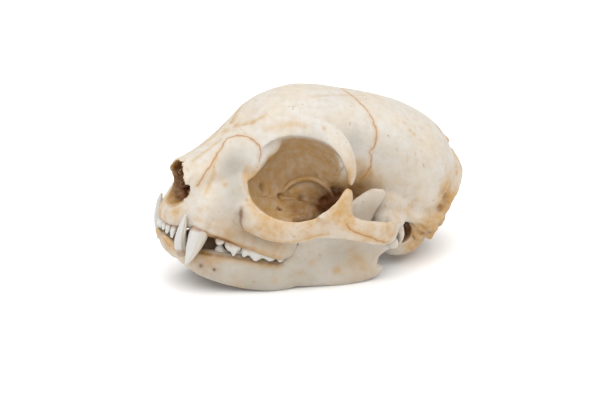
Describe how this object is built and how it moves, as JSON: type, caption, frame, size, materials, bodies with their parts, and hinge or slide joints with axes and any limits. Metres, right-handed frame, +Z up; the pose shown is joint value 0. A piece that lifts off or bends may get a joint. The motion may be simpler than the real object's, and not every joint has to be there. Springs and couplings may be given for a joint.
{
  "type": "wildcat skull",
  "caption": "Dry skull of a wildcat with its lower jaw, resting on the lower edges of the jaw; long canines, round eye sockets and wide cheek arches.",
  "frame": {"origin": "middle of the bounding box at floor height, under the skull", "axes": "+Z up, +Y from the nose to the back of the head, +X to the skull's left"},
  "size_m": [0.0678, 0.1002, 0.057],
  "materials": {
    "bone": "dry weathered bone, matt",
    "tooth_bone": "dry bone with enamel teeth",
    "ear_bone": "stained thin bone, matt"
  },
  "bodies": {
    "root": {"muzzle": "tooth_bone", "frontal": "bone", "braincase": "bone", "occiput": "bone", "zygomatic_arch_left": "bone", "zygomatic_arch_right": "bone", "auditory_bulla_left": "ear_bone", "auditory_bulla_right": "ear_bone", "mandible_left": "tooth_bone", "mandible_right": "tooth_bone"}
  },
  "joints": []
}
